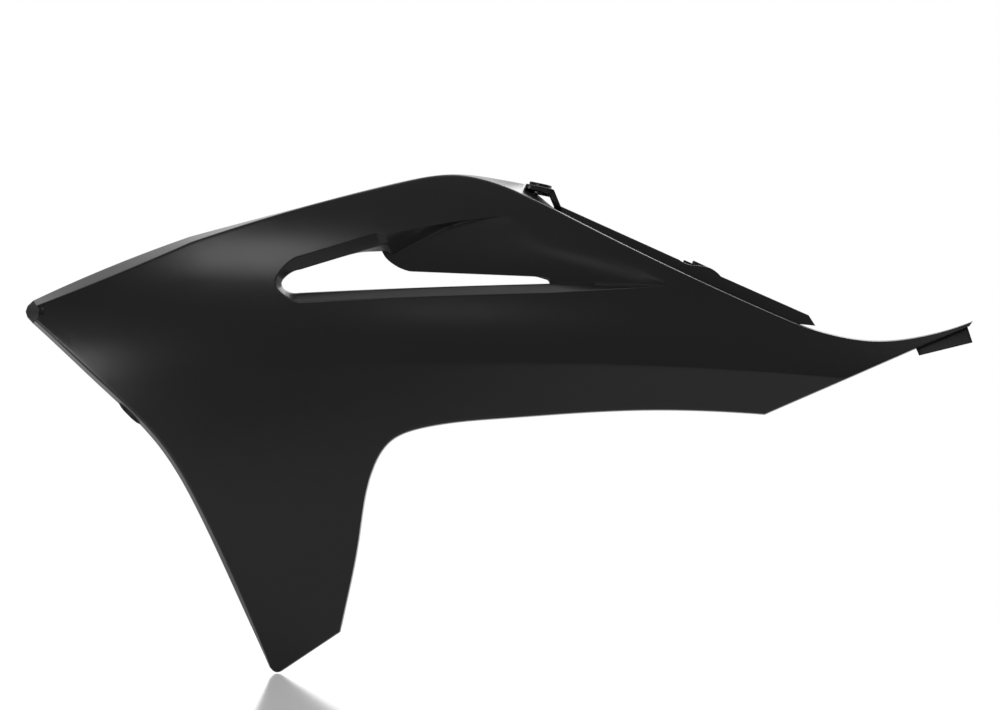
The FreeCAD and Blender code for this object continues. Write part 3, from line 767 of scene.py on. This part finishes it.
    def flange(self, root, free):
        """Plate behind the returned edge, between two rows of (x, z) points, with closed ends."""
        columns = []
        for inner, outer in zip(root, free):
            corners = [
                Vector((*p, return_depth(*p) - offset))
                for p, offset in ((inner, self.wall), (outer, self.wall), (outer, 0.0), (inner, 0.0))
            ]
            start = (corners[0] + corners[-1]) / 2
            columns.append(bent([start, *corners, start], [PLATE_ROUND] * 4, (1, 3, 1, 3, 1)))
        return capped(columns)

    def joggle(self):
        """Rows of the stepped flange: its root inside the rear edge, and its free edge."""
        names = [row[0] for row in OUTLINE]
        rear_end, leg_foot = names.index("rear_end"), names.index("leg_foot")
        free = Outline([Vector(p) for p in JOGGLE], [p[0] not in JOGGLE_SMOOTH for p in JOGGLE])
        runs = free.walk(0.0, len(JOGGLE) - 1.0 - 1e-9, EDGE_SPACING / 2)
        tops = [free.at(t) for t in runs]
        roots = []
        for top in tops:
            x = min(max(top.x, SPOTS["leg_foot"].x), SPOTS["rear_end"].x)
            roots.append(self.inner_rim.at(self.silhouette.reaching(rear_end, leg_foot - 1e-9, x)))
        return self.flange(roots, tops)


def capped(columns):
    """Columns of a bar, with each end drawn together to the middle of its section."""
    first, last = (
        [sum(column, Vector((0, 0, 0))) / len(column)] * len(column) for column in (columns[0], columns[-1]))
    return [first, *columns, last]


def on_panel(point):
    """Place in the frame of a point given as (x, z, depth behind the outer face)."""
    x, z, depth = point
    return Vector((x, depth - skin(x, z, CREASE_ROUND), z)) * MM


def eyelet(bm, matrix, centre, half_sizes, power, plate, boss):
    """Plate with a bolt hole at its origin and a round boss on both of its faces."""
    table = []
    for i in range(ROUND_STEPS + 1):
        angle = math.tau * i / ROUND_STEPS
        way = Vector((math.cos(angle), math.sin(angle), 0))
        rim = (abs(way.x / half_sizes[0]) ** power + abs(way.y / half_sizes[1]) ** power) ** (-1 / power)
        outer = Vector((*centre, 0)) + way * rim
        raised = [(way * BORE_RADIUS, boss), (way * BOSS_RADIUS, boss), (way * BOSS_RADIUS, plate), (outer, plate)]
        upper = [point + Vector((0, 0, height)) for point, height in raised]
        under = [point - Vector((0, 0, height)) for point, height in reversed(raised)]
        path = [way * BORE_RADIUS, *upper, *under, way * BORE_RADIUS]
        table.append(bent(path, EYELET_ROUNDS, (1, 2, 1, 3, 1, 3, 1, 2, 1)))
    sheet(bm, table, lambda point: matrix @ point * MM)


def ear_leg(bm, matrix):
    """Slanted foot that joins the front ear to the rear edge."""
    ring = bent([Vector((x, 0, z)) for x, z in LEG_SECTION], [PLATE_ROUND] * 4, (1, 2, 1, 2, 1))
    columns = [[point + Vector((0, y, 0)) for point in ring] for y in np.linspace(*LEG_ENDS, LEG_COLUMNS)]
    sheet(bm, capped(columns), lambda point: matrix @ point * MM)


def turned(degrees, axis, place):
    return Matrix.Translation(place) @ Matrix.Rotation(math.radians(degrees), 4, axis)


def moulded_plastic(settings):
    """Black polypropylene: satin, with a fine texture from the mould and faint flow marks."""
    material = bpy.data.materials.new("moulded_black")
    material.use_nodes = True
    tree = material.node_tree
    shader = tree.nodes["Principled BSDF"]
    place = node(tree, "ShaderNodeTexCoord", output="Object")
    flow_place = node(tree, "ShaderNodeMapping", {}, {"Vector": place, "Scale": (3.0, 9.0, 14.0)})
    flow = node(tree, "ShaderNodeTexNoise", {}, {"Vector": flow_place, "Scale": 1.0, "Detail": 4.0})
    grain = node(tree, "ShaderNodeTexNoise", {}, {"Vector": place, "Scale": 1400.0, "Detail": 2.0})
    smears = node(tree, "ShaderNodeTexNoise", {}, {"Vector": place, "Scale": 38.0, "Detail": 6.0})
    shade = 0.88 + 0.24 * flow
    colour = node(tree, "ShaderNodeVectorMath", {"operation": "SCALE"}, {
        0: tuple(settings.colour), "Scale": shade})
    roughness = settings.roughness + 0.05 * (flow - 0.5) + 0.07 * (smears - 0.5) + 0.04 * (grain - 0.5)
    bump = node(tree, "ShaderNodeBump", {}, {
        "Strength": 0.6, "Distance": settings.texture_depth, "Height": grain})
    tree.links.new(colour.socket, shader.inputs["Base Color"])
    tree.links.new(roughness.clamped().socket, shader.inputs["Roughness"])
    tree.links.new(bump.socket, shader.inputs["Normal"])
    shader.inputs["IOR"].default_value = 1.49
    return material


class SHROUD_OT_panel(Operator):
    """Makes the moulded panel with its ears, lug and flanges"""
    bl_idname = "shroud.panel"
    bl_label = "Moulded panel"

    def execute(self, context):
        shape = PanelShape(context.scene.shroud_panel)
        bm = bmesh.new()
        for table in shape.tables():
            sheet(bm, table, on_panel)
        bmesh.ops.remove_doubles(bm, verts=bm.verts, dist=MERGED)
        bmesh.ops.dissolve_degenerate(bm, edges=bm.edges, dist=VANISHED)
        if any(len(edge.link_faces) != 2 for edge in bm.edges):
            raise RuntimeError("the moulding has open edges")
        sheet(bm, shape.joggle(), on_panel)
        root, free = (
            [mixed(Vector(start), Vector(end), i / TAB_COLUMNS) for i in range(TAB_COLUMNS + 1)]
            for start, end in (TAB_ROOT, TAB_FREE))
        sheet(bm, shape.flange(root, free), on_panel)
        self.add_mounts(bm)
        bmesh.ops.remove_doubles(bm, verts=bm.verts, dist=MERGED)
        bmesh.ops.dissolve_degenerate(bm, edges=bm.edges, dist=VANISHED)
        bmesh.ops.recalc_face_normals(bm, faces=bm.faces)
        mesh = bpy.data.meshes.new("moulding")
        bm.to_mesh(mesh)
        bm.free()
        mesh.shade_smooth()
        mesh.materials.append(moulded_plastic(context.scene.shroud_plastic))
        piece = bpy.data.objects.new("moulded_panel", mesh)
        context.scene.collection.objects.link(piece)
        weighted = piece.modifiers.new("Even shading", "WEIGHTED_NORMAL")
        weighted.mode = "FACE_AREA"
        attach(piece, "root")
        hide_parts(NODE)
        return {"FINISHED"}

    def add_mounts(self, bm):
        ear = turned(FRONT_TILT, "Y", (0, 0, 0))
        eyelet(bm, ear, *FRONT_EAR)
        ear_leg(bm, ear)
        eyelet(bm, turned(REAR_TILT, "Y", REAR_HOLE), *REAR_EAR)
        lug = turned(LUG_TILT, "X", LUG_HOLE) @ Matrix.Rotation(math.radians(LUG_TURN), 4, "Z")
        eyelet(bm, lug, *FRONT_LUG)


def area_lamp(context, name, place, target, width, height, watts):
    lamp = bpy.data.lights.new(name, "AREA")
    lamp.shape = "RECTANGLE"
    lamp.size, lamp.size_y = width, height
    lamp.energy = watts
    piece = bpy.data.objects.new(name, lamp)
    context.scene.collection.objects.link(piece)
    piece.location = place
    piece.rotation_euler = (Vector(target) - Vector(place)).to_track_quat("-Z", "Y").to_euler()
    return piece


class SHROUD_OT_studio(Operator):
    """Makes the table, the lights and the camera"""
    bl_idname = "shroud.studio"
    bl_label = "Studio"

    def execute(self, context):
        settings = context.scene.shroud_studio
        centre = Vector(settings.view_centre)
        self.make_floor(context, settings)
        self.make_world(context)
        for name, offset, width, height, watts in LAMPS:
            area_lamp(context, name, centre + Vector(offset), centre, width, height, watts)
        camera = bpy.data.cameras.new("camera")
        camera.lens = settings.lens
        camera.clip_end = CAMERA_RANGE
        piece = bpy.data.objects.new("camera", camera)
        context.scene.collection.objects.link(piece)
        distance = settings.view_width * settings.lens / camera.sensor_width
        piece.location = centre - Vector((0, distance, 0))
        piece.rotation_euler = (math.radians(90), 0, 0)
        context.scene.camera = piece
        context.scene.view_settings.view_transform = "Standard"
        return {"FINISHED"}

    def make_floor(self, context, settings):
        bm = bmesh.new()
        bmesh.ops.create_circle(bm, cap_ends=True, segments=FLOOR_SEGMENTS, radius=FLOOR_RADIUS)
        bmesh.ops.translate(bm, verts=bm.verts, vec=(settings.view_centre[0], 0, settings.floor_height))
        mesh = bpy.data.meshes.new("table_top")
        bm.to_mesh(mesh)
        bm.free()
        piece = bpy.data.objects.new("table_top", mesh)
        context.scene.collection.objects.link(piece)
        material = bpy.data.materials.new("white_table")
        material.use_nodes = True
        tree = material.node_tree
        shader = tree.nodes["Principled BSDF"]
        camera = node(tree, "ShaderNodeLightPath", output="Is Camera Ray")
        lift = node(tree, "ShaderNodeVectorMath", {"operation": "SCALE"}, {
            0: (FLOOR_LIFT, FLOOR_LIFT, FLOOR_LIFT), "Scale": camera})
        tree.links.new(lift.socket, shader.inputs["Emission Color"])
        shader.inputs["Base Color"].default_value = (FLOOR_GREY, FLOOR_GREY, FLOOR_GREY, 1)
        shader.inputs["Roughness"].default_value = FLOOR_ROUGHNESS
        shader.inputs["IOR"].default_value = FLOOR_IOR
        shader.inputs["Emission Strength"].default_value = 1.0
        mesh.materials.append(material)

    def make_world(self, context):
        world = bpy.data.worlds.new("white_studio")
        context.scene.world = world
        world.use_nodes = True
        tree = world.node_tree
        tree.nodes.clear()
        direction = node(tree, "ShaderNodeTexCoord", output="Generated")
        behind = node(tree, "ShaderNodeSeparateXYZ", {}, {"Vector": direction}, output="Y")
        across = node(tree, "ShaderNodeSeparateXYZ", {}, {"Vector": direction}, output="X")
        smooth = {"interpolation_type": "SMOOTHSTEP"}
        right_side = node(tree, "ShaderNodeMapRange", smooth, {"Value": across, **RIGHT_SIDE})
        far_side = node(tree, "ShaderNodeMapRange", smooth, {"Value": behind, **FAR_SIDE})
        camera = node(tree, "ShaderNodeLightPath", output="Is Camera Ray")
        glossy = node(tree, "ShaderNodeLightPath", output="Is Glossy Ray")
        clear = node(tree, "ShaderNodeLightPath", output="Is Transmission Ray")
        shown = (camera + glossy + clear).clamped()
        level = shown * (camera + (1 - camera) * far_side * right_side) + (1 - shown) * ROOM_LEVEL
        tree.nodes.new("ShaderNodeOutputWorld")
        background = node(tree, "ShaderNodeBackground", {}, {"Color": (1, 1, 1, 1), "Strength": level})
        tree.links.new(background.socket, tree.nodes["World Output"].inputs["Surface"])


class SHROUD_PT_panel(Panel):
    bl_label = "Radiator shroud"
    bl_idname = "SHROUD_PT_panel"
    bl_space_type = "VIEW_3D"
    bl_region_type = "UI"
    bl_category = "Shroud"

    def draw(self, context):
        layout = self.layout
        scene = context.scene
        for settings in (scene.shroud_panel, scene.shroud_plastic, scene.shroud_studio):
            box = layout.box()
            for name in settings.__annotations__:
                box.prop(settings, name)
        layout.operator("shroud.panel")
        layout.operator("shroud.studio")


CLASSES = (
    PanelSettings, PlasticSettings, StudioSettings, SHROUD_OT_panel, SHROUD_OT_studio, SHROUD_PT_panel,
)


def register():
    for kind in CLASSES:
        bpy.utils.register_class(kind)
    bpy.types.Scene.shroud_panel = PointerProperty(type=PanelSettings)
    bpy.types.Scene.shroud_plastic = PointerProperty(type=PlasticSettings)
    bpy.types.Scene.shroud_studio = PointerProperty(type=StudioSettings)


def unregister():
    del bpy.types.Scene.shroud_studio
    del bpy.types.Scene.shroud_plastic
    del bpy.types.Scene.shroud_panel
    for kind in reversed(CLASSES):
        bpy.utils.unregister_class(kind)


def main():
    register()
    bpy.ops.shroud.panel()
    bpy.ops.shroud.studio()


if __name__ == "__main__":
    main()
